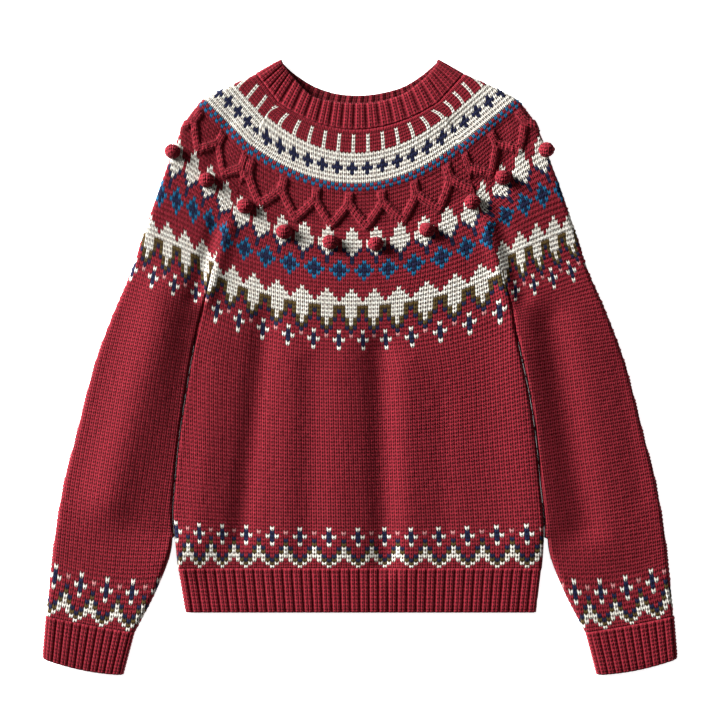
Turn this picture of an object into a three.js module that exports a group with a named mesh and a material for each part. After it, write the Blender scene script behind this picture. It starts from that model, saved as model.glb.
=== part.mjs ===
import * as THREE from 'three';

// A fair isle jumper laid flat and seen from above.
// Millimetres: +X to the right, +Y to the neck, +Z up. The underside rests on z = 0.
// Left and right are those of the picture.

// Sizes that drive the form
const CLOTH = 2.6;
const RIB_CLOTH = 2.8;
const SEAM_GAP = 0.3;
const LOFT = 9;
const ROLL = 9;
const RIB_HEIGHT = 1.5;
const CORD_HEIGHT = 2.2;
const CORD_HALF_WIDTH = 5;
const BOBBLE_RADIUS = 8.4;

// Rows of the front and back, from the neck seam down.
// down, left x, left y, middle x, middle y, right x, right y, bow, roll of the side edge
const BODY_ROWS = [
  [0, -95, 306, -6, 274, 91, 306, 2, 0], // neck seam
  [30, -110, 288, -6, 244, 101, 288, 2, 0], // stripe ends
  [47, -120, 270, -6, 227, 108, 272, 2, 0], // pluses
  [68, -127, 250, -6, 206, 114, 251, 2, 0], // dots
  [92, -136, 220, -6, 182, 125, 221, 2, 0], // cables
  [130, -146, 185, -6, 144, 138, 187, 2, 0], // leaves
  [164, -159, 147, -6, 110, 151, 149, 2, 0], // diamonds
  [202, -171, 109, -6, 72, 164, 110, 2.2, 0.1], // trees
  [244, -180, 73, -6, 30, 175, 71, 2.3, 0.7], // crosses
  [263, -187, 47, -6, 11, 179, 45, 2.3, 1], // under the crosses
  [293, -194, 12, -5, -19, 186, 13, 2.2, 1], // chest
  [336, -202, -36, -3, -62, 196, -35, 2.2, 1], // upper waist
  [377, -209, -83, -2, -103, 203, -83, 2.2, 1], // waist
  [421, -214, -134, -2, -147, 208, -134, 2.2, 1], // lower waist
  [454, -216, -171, -2, -180, 212, -173, 2.2, 1], // over the hem pattern
  [483, -213, -204, -2, -209, 212, -206, 2, 1], // hem pattern
  [505, -210, -231, -2, -231, 210, -231, 2, 1], // hem seam
];
const BODY_END = 505;
const BACK_NECK_RISE = 8.6;
const BACK_INSET = 0.995;

// Rows of the left sleeve, from the neck to the cuff seam; the right one mirrors them.
// along, outer x, outer y, inner x, inner y, sag in the middle, roll of the inner edge
const SLEEVE_ROWS = [
  [0, -120, 339, -95, 306, 0, 0], // neck
  [25, -145, 328, -110, 288, 0, 0], // stripe ends
  [46, -166, 318, -120, 270, 0, 0], // pluses
  [66, -184, 307, -127, 250, 0, 0], // dots
  [95, -202, 284, -136, 220, -2, 0], // cables
  [133, -217, 247, -145, 187, -5, 0], // leaves
  [168, -232, 206, -153, 159, -5, 0], // diamonds
  [221, -251, 151, -171, 116, 0, 0.1], // trees
  [261, -264, 111, -179, 79, 1, 0.7], // crosses
  [303, -284, 65, -187, 47, 0, 1], // underarm
  [364, -306, 6, -196, -14, 0, 1], // upper arm
  [447, -327, -74, -207, -96, 0, 1], // elbow
  [512, -343, -137, -216, -160, 2, 1], // forearm
  [568, -353, -198, -217, -210, 5, 1], // over the cuff pattern
  [609, -357, -234, -233, -254, 9, 1], // cuff pattern
  [663, -362, -286, -259, -305, 1, 1], // cuff seam
];
const SLEEVE_END = 663;
const SLEEVE_LEAVES_BODY_Y = -196;
const BODY_FOOT_Y = -232;

// Cuff, left: corners of its free edge and the sag between them
const CUFF = { outerEnd: [-366, -335], innerEnd: [-272, -354], sag: 4 };

// Hem rib: corners of its free edge
const HEM = { leftEnd: [-202, -282], rightEnd: [204, -282] };

// Free edge of the neckband from the left tip to the right one, front and back
// place, front x, front y, back x, back y
const BAND_ROWS = [
  [0, -92, 355, -92, 355],
  [1, -86, 345, -84, 346],
  [2, -77, 334, -72, 336],
  [3, -56, 313, -52, 324],
  [4, -31, 306, -27, 316],
  [5, -5, 304, 0, 314],
  [6, 22, 306, 26, 317],
  [7, 50, 315, 50, 324],
  [8, 73, 332, 70, 336],
  [9, 84, 344, 82, 346],
  [10, 92, 355, 92, 355],
];

// Soft folds of the upper layer: from x, from y, to x, to y, half width, height
const FOLDS = [
  [7, 20, 12, -221, 15, -3.0], // centre valley
  [-113, 52, -131, -193, 15, -2.8], // left valley
  [-55, -3, -62, -204, 28, 2.6], // wide ridge
  [-166, 43, -184, -198, 16, 1.8], // left edge ridge
  [48, -3, 51, -210, 18, 1.6], // right of the centre
  [126, 9, 136, -198, 32, 1.4], // right wide ridge
  [87, -37, 92, -198, 13, -0.9], // right shallow valley
  [-48, 89, 46, 89, 34, 1.0], // yoke
  [-151, 163, -175, 78, 9, 2.6], // left raglan roll
  [-168, 160, -191, 82, 9, -2.2], // left raglan dip
  [145, 160, 169, 78, 9, 2.4], // right raglan roll
  [162, 160, 187, 82, 9, -2.0], // right raglan dip
  [-242, 78, -304, -221, 23, 3.0], // left sleeve ridge
  [-200, 43, -230, -175, 14, -2.4], // left sleeve valley
  [-285, 26, -327, -175, 12, -1.0], // left outer valley
  [194, 49, 216, -175, 15, -2.6], // right sleeve valley
  [237, 72, 267, -83, 21, 3.0], // right sleeve ridge, upper
  [267, -83, 283, -233, 21, 2.4], // right sleeve ridge, lower
  [283, 26, 317, -175, 14, -1.6], // right outer valley
  [-150, 285, -168, 239, 10, -1.2], // left shoulder
  [161, 275, 168, 227, 10, -1.2], // right shoulder
];

// Centres of the bobbles, left to right
const BOBBLES = [
  [-215, 248],
  [-176, 215],
  [-132, 185],
  [-87, 156],
  [-34, 144],
  [18, 142],
  [77, 158],
  [129, 190],
  [164, 218],
  [214, 250],
];

// Cables: where the zigzag turns, in the rows' own measure
const CABLES = { top: 74, turn: 86, foot: 112, period: 0.302, phase: -0.053 };
const SLEEVE_CABLES = { top: 74, turn: 88, foot: 112, period: 0.42, phase: 0.12 };

// A table's row at any place between its own, along a smooth curve
function smooth(table, place) {
  const last = table.length - 1;
  let i = 0;
  while (i < last - 1 && place > table[i + 1][0]) i += 1;
  const a = table[i];
  const b = table[i + 1];
  const before = table[Math.max(i - 1, 0)];
  const after = table[Math.min(i + 2, last)];
  const span = b[0] - a[0];
  const f = (place - a[0]) / span;
  const values = [];
  for (let k = 1; k < a.length; k += 1) {
    const leave = ((b[k] - before[k]) / (b[0] - before[0])) * span;
    const arrive = ((after[k] - a[k]) / (after[0] - a[0])) * span;
    const step = b[k] - a[k];
    values.push(a[k] + leave * f + (3 * step - 2 * leave - arrive) * f * f
      + (leave + arrive - 2 * step) * f * f * f);
  }
  return values;
}

const mix = (a, b, f) => a + (b - a) * f;
const limit = (share) => Math.min(1, Math.max(0, share));

// Height of the upper layer's outside over the floor
function lay(x, y) {
  let z = LOFT;
  for (const [x0, y0, x1, y1, halfWidth, height] of FOLDS) {
    const dx = x1 - x0;
    const dy = y1 - y0;
    const f = limit(((x - x0) * dx + (y - y0) * dy) / (dx * dx + dy * dy));
    const distance = Math.hypot(x - x0 - f * dx, y - y0 - f * dy);
    z += height * Math.exp(-((distance / halfWidth) ** 2));
  }
  return z;
}

// A zigzag cord with a straight one over each upper turn, raised on the cloth
function cord(cables, across, down, width) {
  if (down < cables.top || down > cables.foot + CORD_HALF_WIDTH) return 0;
  const turns = (across - cables.phase) / cables.period;
  const toTurn = Math.abs(turns - Math.round(turns));
  const line = mix(cables.turn, cables.foot, toTurn * 2);
  const slant = (cables.foot - cables.turn) / (0.5 * cables.period * width);
  const zigzag = Math.abs(down - line) / Math.hypot(1, slant);
  const straight = down < cables.turn ? toTurn * cables.period * width : CORD_HALF_WIDTH;
  const near = Math.min(zigzag, straight) / CORD_HALF_WIDTH;
  return near < 1 ? CORD_HEIGHT * (1 - near * near) : 0;
}

// One closed wall from an outer grid and the picked rows and columns of an inner one.
// In a ring the last column meets the first.
function wall(name, outer, innerAll, rowPicks, columnPicks, isRing) {
  const points = [];
  const faces = [];
  const place = (grid) => grid.map((row) => row.map((point) => points.push(point) - 1));
  const o = place(outer);
  const n = place(rowPicks.map((i) => columnPicks.map((j) => innerAll[i][j])));
  const skin = (grid, isInner) => {
    const width = grid[0].length;
    const columns = isRing ? width : width - 1;
    for (let i = 0; i < grid.length - 1; i += 1) {
      for (let j = 0; j < columns; j += 1) {
        const k = (j + 1) % width;
        const [a, b, c, d] = [grid[i][j], grid[i + 1][j], grid[i + 1][k], grid[i][k]];
        if (isInner) faces.push([a, c, b], [a, d, c]);
        else faces.push([a, b, c], [a, c, d]);
      }
    }
  };
  const rim = (outerLine, innerLine, picks, isBackward) => {
    const steps = picks.slice(1).map((pick, i) => [picks[i], pick, i]);
    for (const [from, to, i] of steps) {
      const [qa, qb] = [innerLine[i], innerLine[i + 1]];
      const face = (a, b, c) => faces.push(isBackward ? [a, c, b] : [a, b, c]);
      for (let j = from; j < to; j += 1) face(outerLine[j + 1], outerLine[j], qa);
      face(outerLine[to], qa, qb);
    }
  };
  const close = (line) => (isRing ? [...line, line[0]] : line);
  const picksAcross = isRing ? [...columnPicks, outer[0].length] : columnPicks;
  skin(o, false);
  skin(n, true);
  rim(close(o[o.length - 1]), close(n[n.length - 1]), picksAcross, false);
  rim(close(o[0]), close(n[0]), picksAcross, true);
  if (!isRing) {
    rim(o.map((row) => row[0]), n.map((row) => row[0]), rowPicks, false);
    rim(o.map((row) => row.at(-1)), n.map((row) => row.at(-1)), rowPicks, true);
  }
  return { name, points, faces };
}

const spread = (from, to, count) => Array.from({ length: count + 1 }, (_, i) => mix(from, to, i / count));
const radians = THREE.MathUtils.degToRad;
const leanIn = (angle) => 1 - Math.cos(radians(angle));

function picksOf(places) {
  return places.map((place, i) => (place.keep ? i : -1)).filter((i) => i >= 0);
}

function everyOther(count) {
  return spread(0, count - 1, (count - 1) / 2);
}

// A row of the front or back
function bodyRow(down, neckRise) {
  const [leftX, leftY, middleX, middleY, rightX, rightY, bow, roll] = smooth(BODY_ROWS, down);
  const rise = neckRise * Math.max(0, 1 - down / 60);
  const at = (t) => {
    const end = t < 0 ? [leftX, leftY] : [rightX, rightY];
    const reach = Math.abs(t);
    return [mix(middleX, end[0], reach), mix(middleY + rise, end[1], reach ** bow)];
  };
  return { at, roll: limit(roll), halfWidth: (rightX - leftX) / 2 };
}

// Places across a row: the rolled edges and the flat part between them
function panelPlaces(flatColumns, halfWidth) {
  const inset = ROLL / halfWidth;
  const angles = [2, 32, 62];
  const left = angles.map((angle) => ({ t: -1 + inset * leanIn(angle), angle, side: -1, keep: true }));
  const right = angles.map((angle) => ({ t: 1 - inset * leanIn(angle), angle, side: 1, keep: true }));
  const flat = spread(-1 + inset, 1 - inset, flatColumns);
  return [...left, ...flat.map((t, i) => ({ t, angle: 90, side: 0, keep: i % 2 === 0 })), ...right.reverse()];
}

function frontPanel() {
  const downs = [...spread(0, 74, 6), ...spread(74, 118, 10).slice(1), ...spread(118, BODY_END, 22).slice(1)];
  const outer = [];
  const inner = [];
  let picks = [];
  for (const down of downs) {
    const row = bodyRow(down, 0);
    const places = panelPlaces(52, row.halfWidth);
    picks = picksOf(places);
    const edge = CLOTH + SEAM_GAP;
    const cut = places.map(({ t, angle, side }) => {
      const [x, y] = row.at(t);
      const top = lay(x, y);
      const rolled = edge + (top - edge) * Math.sin(radians(angle));
      const z = side === 0 ? top : mix(top, rolled, row.roll);
      const sideways = side * Math.cos(radians(angle)) * row.roll;
      const upward = Math.sqrt(1 - sideways * sideways);
      return {
        outside: [x, y, z + cord(CABLES, t, down, row.halfWidth)],
        inside: [x - CLOTH * sideways, y, Math.max(z - CLOTH * upward, edge)],
      };
    });
    outer.push(cut.map((point) => point.outside));
    inner.push(cut.map((point) => point.inside));
  }
  return wall('front', outer, inner, everyOther(downs.length), picks, false);
}

function backPanel() {
  const downs = spread(0, BODY_END, 18);
  const ts = spread(-1, 1, 14).map((t) => t * BACK_INSET);
  const layer = (z) => downs.map((down) => ts.map((t) => [...bodyRow(down, BACK_NECK_RISE).at(t), z]));
  return wall('back', layer(0), layer(CLOTH), everyOther(19), everyOther(15), false);
}

// X of the body's side edge at a height y
const sideLines = [-1, 1].map((side) => spread(0, BODY_END, 120).map((down) => bodyRow(down, 0).at(side)));

function sideEdge(side, y) {
  const line = sideLines[side < 0 ? 0 : 1];
  let i = 0;
  while (i < line.length - 2 && y < line[i + 1][1]) i += 1;
  return mix(line[i][0], line[i + 1][0], (y - line[i][1]) / (line[i + 1][1] - line[i][1]));
}

// A row of a sleeve, from its outer fold to its inner edge beside the body
function sleeveRow(along, side) {
  const [outerX, outerY, innerX, innerY, sag, roll] = smooth(SLEEVE_ROWS, along);
  const outer = [-side * outerX, outerY];
  const edge = sideEdge(side, innerY) + side * SEAM_GAP * 1.5;
  const isFree = innerY < SLEEVE_LEAVES_BODY_Y && side * edge < -innerX;
  const inner = [isFree ? -side * innerX : edge, innerY];
  if (innerY < BODY_FOOT_Y) inner[0] = -side * innerX;
  const length = Math.hypot(outer[0] - inner[0], outer[1] - inner[1]);
  return {
    at: (t) => [mix(outer[0], inner[0], t), mix(outer[1], inner[1], t) - sag * 4 * t * (1 - t)],
    out: [(outer[0] - inner[0]) / length, (outer[1] - inner[1]) / length],
    length,
    roll: limit(roll),
  };
}

// The cut through a flattened tube. A place has t from end 0 to end 1 and the angle of its
// outside: 90 on top, -90 underneath, between them round the fold of its end.
function tubePoint(row, place, thickness) {
  const { t, angle, end, raise } = place;
  const [x, y] = row.at(t);
  const top = lay(x, y);
  const turn = radians(angle);
  const middle = Math.min(top * 0.5, 0.25 * top + 2.2);
  const folded = angle > 0 ? middle + (top - middle) * Math.sin(turn) : middle * (1 + Math.sin(turn));
  const roll = end === 1 ? row.roll : 1;
  const z = mix(angle > 0 ? top : 0, folded, roll);
  const sideways = Math.cos(turn) * roll * (end === 1 ? -1 : 1);
  const upward = (angle < 0 ? -1 : 1) * Math.sqrt(1 - sideways * sideways);
  const still = angle === 0 ? 0 : upward;
  return {
    outside: [x, y, z + raise],
    inside: [x - thickness * sideways * row.out[0], y - thickness * sideways * row.out[1], z - thickness * still],
  };
}

function foldPlaces(angles, end, radius) {
  return angles.map((angle) => {
    const inset = radius * leanIn(angle);
    return { t: end === 0 ? inset : 1 - inset, angle, end, raise: 0, keep: true };
  });
}

function flatPlaces(from, to, count, angle, keepEvery) {
  return spread(from, to, count).map((t, i) => ({ t, angle, end: 0, raise: 0, keep: i % keepEvery === 0 }));
}

function sleeve(name, side) {
  const alongs = [...spread(0, 74, 6), ...spread(74, 118, 8).slice(1), ...spread(118, SLEEVE_END, 24).slice(1)];
  const outer = [];
  const inner = [];
  let picks = [];
  for (const along of alongs) {
    const row = sleeveRow(along, side);
    const radius = Math.min(ROLL, row.length * 0.25) / row.length;
    const places = [
      ...foldPlaces([-1.5, -32, -62], 1, radius),
      ...flatPlaces(1 - radius, radius, 4, -90, 1),
      ...foldPlaces([-60, -30, 0, 30, 60], 0, radius),
      ...flatPlaces(radius, 1 - radius, 14, 90, 2),
      ...foldPlaces([62, 32, 1.5], 1, radius),
    ];
    picks = picksOf(places);
    const cut = places.map((place) => {
      const raise = place.angle === 90 ? cord(SLEEVE_CABLES, place.t, along, row.length) : 0;
      return tubePoint(row, { ...place, raise }, CLOTH);
    });
    outer.push(cut.map((point) => point.outside));
    inner.push(cut.map((point) => point.inside));
  }
  return wall(name, outer, inner, everyOther(alongs.length), picks, false);
}

// A ribbed ring laid flat. Its rows run from the seam to the free edge.
function ribbedRing(name, rowAt, bands, ridges, underColumns) {
  const outer = [];
  const inner = [];
  let picks = [];
  for (const f of spread(0, 1, bands)) {
    const row = rowAt(f);
    const radius = Math.min(ROLL, row.length * 0.25) / row.length;
    const ribs = flatPlaces(radius, 1 - radius, ridges * 2, 90, 2);
    const places = [
      ...foldPlaces([-60, -30, 0, 30, 60], 0, radius),
      ...ribs.map((place, i) => ({ ...place, raise: i % 2 === 1 ? RIB_HEIGHT : 0 })),
      ...foldPlaces([60, 30, 0, -30, -60], 1, radius),
      ...flatPlaces(1 - radius, radius, underColumns, -90, 1),
    ];
    picks = picksOf(places);
    const cut = places.map((place) => tubePoint(row, place, RIB_CLOTH));
    outer.push(cut.map((point) => point.outside));
    inner.push(cut.map((point) => point.inside));
  }
  return wall(name, outer, inner, [0, bands], picks, true);
}

function straightRow(start, finish, sag) {
  const length = Math.hypot(start[0] - finish[0], start[1] - finish[1]);
  return {
    at: (t) => [mix(start[0], finish[0], t), mix(start[1], finish[1], t) - sag * 4 * t * (1 - t)],
    out: [(start[0] - finish[0]) / length, (start[1] - finish[1]) / length],
    length,
    roll: 1,
  };
}

const between = (a, b, f) => [mix(a[0], b[0], f), mix(a[1], b[1], f)];

function hemRib() {
  const seam = bodyRow(BODY_END, 0);
  const rowAt = (f) => {
    const start = between(seam.at(-1), HEM.leftEnd, f);
    const finish = between(seam.at(1), HEM.rightEnd, f);
    const drop = SEAM_GAP * 1.2 * (1 - f);
    return straightRow([start[0], start[1] - drop], [finish[0], finish[1] - drop], 0);
  };
  return ribbedRing('hem_rib', rowAt, 3, 38, 12);
}

function cuff(name, side) {
  const seam = sleeveRow(SLEEVE_END, side);
  const flip = ([x, y]) => [-side * x, y];
  const rowAt = (f) => {
    const start = between(seam.at(0), flip(CUFF.outerEnd), f);
    const finish = between(seam.at(1), flip(CUFF.innerEnd), f);
    const drop = SEAM_GAP * 1.3 * (1 - f);
    const sag = mix(SLEEVE_ROWS.at(-1)[5], CUFF.sag, f);
    return straightRow([start[0], start[1] - drop], [finish[0], finish[1] - drop], sag);
  };
  return ribbedRing(name, rowAt, 3, 11, 5);
}

// The neck seam at a place from 0 to 10: a sleeve, the body, the other sleeve
function neckSeam(place, neckRise) {
  if (place < 2) return sleeveRow(0, -1).at(place / 2);
  if (place > 8) return sleeveRow(0, 1).at((10 - place) / 2);
  return bodyRow(0, neckRise).at((place - 5) / 3);
}

function neckband() {
  const radius = 0.042;
  const bands = 4;
  const ridges = 24;
  const places = [
    ...foldPlaces([-60, -30, 0, 30, 60], 0, radius),
    ...flatPlaces(radius, 1 - radius, ridges * 2, 90, 2).map((p, i) => ({ ...p, raise: (i % 2) * RIB_HEIGHT })),
    ...foldPlaces([60, 30, 0, -30, -60], 1, radius),
    ...flatPlaces(1 - radius, radius, 18, -90, 1),
  ];
  const outer = [];
  const inner = [];
  for (const f of spread(0, 1, bands)) {
    const cut = places.map((place) => {
      const isBack = place.angle < 0;
      const at = (t) => {
        const [frontX, frontY, backX, backY] = smooth(BAND_ROWS, t * 10);
        const share = place.angle === -30 ? 0.5 : 1;
        const edge = isBack ? between([frontX, frontY], [backX, backY], share) : [frontX, frontY];
        const seam = neckSeam(t * 10, isBack ? (BACK_NECK_RISE + SEAM_GAP) * share : 0);
        const width = Math.hypot(edge[0] - seam[0], edge[1] - seam[1]);
        return between(seam, edge, mix(0.42 / width, 1, f));
      };
      const [tip, near] = place.end === 1 ? [at(1), at(0.96)] : [at(0), at(0.04)];
      const reach = Math.hypot(tip[0] - near[0], tip[1] - near[1]);
      const sign = place.end === 1 ? -1 : 1;
      const out = [(sign * (tip[0] - near[0])) / reach, (sign * (tip[1] - near[1])) / reach];
      return tubePoint({ at, out, roll: 1 }, place, RIB_CLOTH);
    });
    outer.push(cut.map((point) => point.outside));
    inner.push(cut.map((point) => point.inside));
  }
  return wall('neckband', outer, inner, [0, 2, 4], picksOf(places), true);
}

// Height of the cloth under a bobble; none beyond a sleeve's outer fold
const foldLines = [-1, 1].map((side) => spread(60, 200, 40).map((along) => sleeveRow(along, side).at(0)));

function cover(x, y) {
  const side = x < 0 ? -1 : 1;
  const line = foldLines[side < 0 ? 0 : 1];
  let inset = Infinity;
  for (const [edgeX, edgeY] of line) {
    const distance = Math.hypot(x - edgeX, y - edgeY);
    if (distance < Math.abs(inset)) inset = distance * (side * (edgeX - x) > 0 ? 1 : -1);
  }
  const top = lay(x, y);
  if (inset > ROLL) return top;
  if (inset < -1) return 0;
  const middle = Math.min(top * 0.5, 0.25 * top + 2.2);
  return middle + (top - middle) * Math.sin(Math.acos(1 - Math.max(0, inset) / ROLL));
}

function bobble(name, [centreX, centreY]) {
  const middle = lay(centreX, centreY) + 3.2;
  const turns = 12;
  const latitudes = [-50, -22, 8, 38, 64];
  const points = [];
  const faces = [];
  const put = (x, y, z) => points.push([x, y, Math.max(z, cover(x, y) + 0.5)]) - 1;
  const rings = latitudes.map((latitude) => spread(0, 1, turns).slice(0, turns).map((f) => {
    const reach = BOBBLE_RADIUS * Math.cos(radians(latitude));
    const x = centreX + reach * Math.cos(f * 2 * Math.PI);
    const y = centreY + reach * Math.sin(f * 2 * Math.PI);
    return put(x, y, middle + BOBBLE_RADIUS * Math.sin(radians(latitude)));
  }));
  const bottom = put(centreX, centreY, 0);
  const top = put(centreX, centreY, middle + BOBBLE_RADIUS);
  for (let j = 0; j < turns; j += 1) {
    const k = (j + 1) % turns;
    faces.push([bottom, rings[0][k], rings[0][j]], [top, rings.at(-1)[j], rings.at(-1)[k]]);
    for (let i = 0; i < rings.length - 1; i += 1) {
      faces.push([rings[i][j], rings[i][k], rings[i + 1][k]], [rings[i][j], rings[i + 1][k], rings[i + 1][j]]);
    }
  }
  return { name, points, faces };
}

function volumeOf({ points, faces }) {
  let volume = 0;
  for (const [a, b, c] of faces) {
    const [p, q, r] = [points[a], points[b], points[c]];
    volume += p[0] * (q[1] * r[2] - q[2] * r[1]) + p[1] * (q[2] * r[0] - q[0] * r[2])
      + p[2] * (q[0] * r[1] - q[1] * r[0]);
  }
  return volume / 6;
}

const pieces = [
  frontPanel(),
  backPanel(),
  sleeve('sleeve_left', -1),
  sleeve('sleeve_right', 1),
  neckband(),
  hemRib(),
  cuff('cuff_left', -1),
  cuff('cuff_right', 1),
  ...BOBBLES.map((centre, i) => bobble(`bobble_${i + 1}`, centre)),
];

// Deep red wool, a little darker in the ribs
function yarnOf(name) {
  const isRib = name.startsWith('cuff') || name === 'neckband' || name === 'hem_rib';
  return new THREE.MeshStandardMaterial({ color: isRib ? 0x7a1a28 : 0x8c1f2f, roughness: 0.95, metalness: 0 });
}

const jumper = new THREE.Group();
for (const piece of pieces) {
  const isInsideOut = volumeOf(piece) < 0;
  const index = piece.faces.flatMap(([a, b, c]) => (isInsideOut ? [a, c, b] : [a, b, c]));
  const geometry = new THREE.BufferGeometry();
  geometry.setAttribute('position', new THREE.Float32BufferAttribute(piece.points.flat(), 3));
  geometry.setIndex(index);
  const mesh = new THREE.Mesh(geometry, yarnOf(piece.name));
  mesh.name = piece.name;
  jumper.add(mesh);
}

// The middle of the whole is the origin, its underside z = 0
const box = new THREE.Box3().setFromObject(jumper);
const centre = box.getCenter(new THREE.Vector3());
jumper.children.forEach((mesh) => mesh.geometry.translate(-centre.x, -centre.y, -box.min.z));

export default jumper;
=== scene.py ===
# %% [markdown]
# A fair isle jumper, laid flat and seen from straight above. The solids give its size and
# outlines. Here every stitch of the knitting is made, row by row, and the yarns get their
# colours from charts, as a knitter would read them.

# %% Load the fixed frame
import math

import bmesh
import bpy
import numpy as np
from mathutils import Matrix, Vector


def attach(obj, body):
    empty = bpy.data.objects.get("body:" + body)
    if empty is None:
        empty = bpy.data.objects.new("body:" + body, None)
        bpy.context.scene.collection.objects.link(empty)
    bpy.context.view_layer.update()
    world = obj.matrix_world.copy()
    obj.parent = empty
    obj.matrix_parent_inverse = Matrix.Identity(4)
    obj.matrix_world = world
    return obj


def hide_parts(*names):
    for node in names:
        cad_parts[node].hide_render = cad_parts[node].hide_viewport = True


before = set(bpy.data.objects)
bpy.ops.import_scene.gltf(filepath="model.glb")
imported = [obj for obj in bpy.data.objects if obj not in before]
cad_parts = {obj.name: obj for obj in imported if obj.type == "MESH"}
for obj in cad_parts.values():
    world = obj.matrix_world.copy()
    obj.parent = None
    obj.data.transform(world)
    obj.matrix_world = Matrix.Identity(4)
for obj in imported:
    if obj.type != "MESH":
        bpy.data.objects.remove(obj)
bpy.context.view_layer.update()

MM = 0.001
MIDDLE_Y = 0.5

# %% [markdown]
# The cut of the jumper is kept in short tables, in millimetres. Its outlines are those that the
# solids come from; its folds are softer and deeper than theirs. A row of the front is a shallow
# curve from one raglan seam to the other, so it needs its two ends, its middle and its bow.

# %% The cut
CLOTH = 2.6
KNIT_WALL = 2.4
SEAM_GAP = 0.3
SEAM_LAP = 0.5
LOFT = 11.5
ROLL = 6.5
TIGHT_ROLL = 2.2
CORD_HEIGHT = 1.6
CORD_HALF_WIDTH = 5.0
CORD_ROW = 4.0
PULL = 0.65
BOBBLE_RADIUS = 8.4

# down, left x, left y, middle x, middle y, right x, right y, bow, roll of the side edge
BODY_ROWS = [
    [0, -95, 306, -6, 274, 91, 306, 2, 0],
    [30, -110, 288, -6, 244, 101, 288, 2, 0],
    [47, -120, 270, -6, 227, 108, 272, 2, 0],
    [68, -127, 250, -6, 206, 114, 251, 2, 0],
    [92, -136, 220, -6, 182, 125, 221, 2, 0],
    [130, -146, 185, -6, 144, 138, 187, 2, 0],
    [164, -159, 147, -6, 110, 151, 149, 2, 0],
    [202, -171, 109, -6, 72, 164, 110, 2.2, 0.1],
    [244, -180, 73, -6, 30, 175, 71, 2.3, 0.4],
    [263, -187, 47, -6, 11, 179, 45, 2.3, 0.75],
    [293, -194, 12, -5, -19, 186, 13, 2.2, 1],
    [336, -202, -36, -3, -62, 196, -35, 2.2, 1],
    [377, -209, -83, -2, -103, 203, -83, 2.2, 1],
    [421, -214, -134, -2, -147, 208, -134, 2.2, 1],
    [454, -216, -171, -2, -180, 212, -173, 2.2, 1],
    [483, -213, -204, -2, -209, 212, -206, 2, 1],
    [505, -210, -231, -2, -231, 210, -231, 2, 1],
]
BODY_END = 505
BACK_NECK_RISE = 8.6

# along, outer x, outer y, inner x, inner y, sag in the middle, roll of the inner edge
SLEEVE_ROWS = [
    [0, -120, 339, -95, 306, 0, 0],
    [25, -145, 328, -110, 288, 0, 0],
    [46, -166, 318, -120, 270, 0, 0],
    [66, -184, 307, -127, 250, 0, 0],
    [95, -202, 284, -136, 220, -2, 0],
    [133, -217, 247, -145, 187, -5, 0],
    [168, -232, 206, -153, 159, -5, 0],
    [221, -251, 151, -171, 116, 0, 0.1],
    [261, -264, 111, -179, 79, 1, 0.4],
    [303, -284, 65, -187, 47, 0, 0.75],
    [364, -306, 6, -196, -14, 0, 1],
    [447, -327, -74, -207, -96, 0, 1],
    [512, -343, -137, -216, -160, 2, 1],
    [568, -353, -198, -217, -210, 5, 1],
    [609, -357, -234, -233, -254, 9, 1],
    [663, -362, -286, -259, -305, 1, 1],
]
SLEEVE_END = 663
SLEEVE_LEAVES_BODY_Y = -196
BODY_FOOT_Y = -232
CUFF = {"outer_end": (-366, -335), "inner_end": (-272, -354), "sag": 4}
HEM = {"left_end": (-202, -282), "right_end": (204, -282)}

# place, front x, front y, back x, back y
BAND_ROWS = [
    [0, -92, 355, -92, 355],
    [1, -86, 345, -84, 346],
    [2, -77, 334, -72, 336],
    [3, -56, 313, -52, 324],
    [4, -31, 306, -27, 316],
    [5, -5, 304, 0, 314],
    [6, 22, 306, 26, 317],
    [7, 50, 315, 50, 324],
    [8, 73, 332, 70, 336],
    [9, 84, 344, 82, 346],
    [10, 92, 355, 92, 355],
]

# Soft folds of the upper layer: from x, from y, to x, to y, half width, height
FOLDS = [
    [23, 20, 29, -221, 17, -6.0],
    [52, -3, 55, -210, 20, 2.0],
    [-20, 10, -24, -204, 20, 1.8],
    [-56, 0, -58, -204, 14, -1.2],
    [-78, 10, -88, -200, 16, 1.6],
    [-109, 52, -138, -193, 15, -4.5],
    [-194, 30, -208, -198, 38, 7.5],
    [95, -37, 98, -198, 13, -1.0],
    [176, 10, 190, -198, 24, 3.0],
    [-48, 89, 46, 89, 34, 1.5],
    [-151, 163, -175, 78, 9, 4.2],
    [-168, 160, -191, 82, 9, -3.6],
    [145, 160, 169, 78, 9, 3.8],
    [162, 160, 187, 82, 9, -3.2],
    [-226, 80, -286, -150, 30, 9.5],
    [-192, 43, -214, -185, 24, -7.0],
    [187, 50, 213, -180, 22, 3.5],
    [220, 55, 260, -180, 20, -5.5],
    [250, 50, 276, -200, 36, 2.5],
    [300, 10, 322, -150, 12, -1.0],
    [-150, 285, -168, 239, 10, -1.8],
    [161, 275, 168, 227, 10, -1.8],
]
BOBBLES = [
    (-215, 248), (-176, 215), (-132, 185), (-87, 156), (-34, 144),
    (18, 142), (77, 158), (129, 190), (164, 218), (214, 250),
]
CABLES = {"top": 74, "turn": 86, "foot": 112, "period": 0.302, "phase": -0.053}
SLEEVE_CABLES = {"top": 74, "turn": 88, "foot": 112, "period": 0.42, "phase": 0.12}
print("rows of the cut:", len(BODY_ROWS), "body,", len(SLEEVE_ROWS), "sleeve;", len(FOLDS), "folds")

# %% [markdown]
# Between two rows of a table the cloth runs on smoothly, so the values follow a curve through
# the rows. The folds are soft troughs and ridges laid along short lines: the closer a point is
# to the line, the more it sinks or rises.


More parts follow.
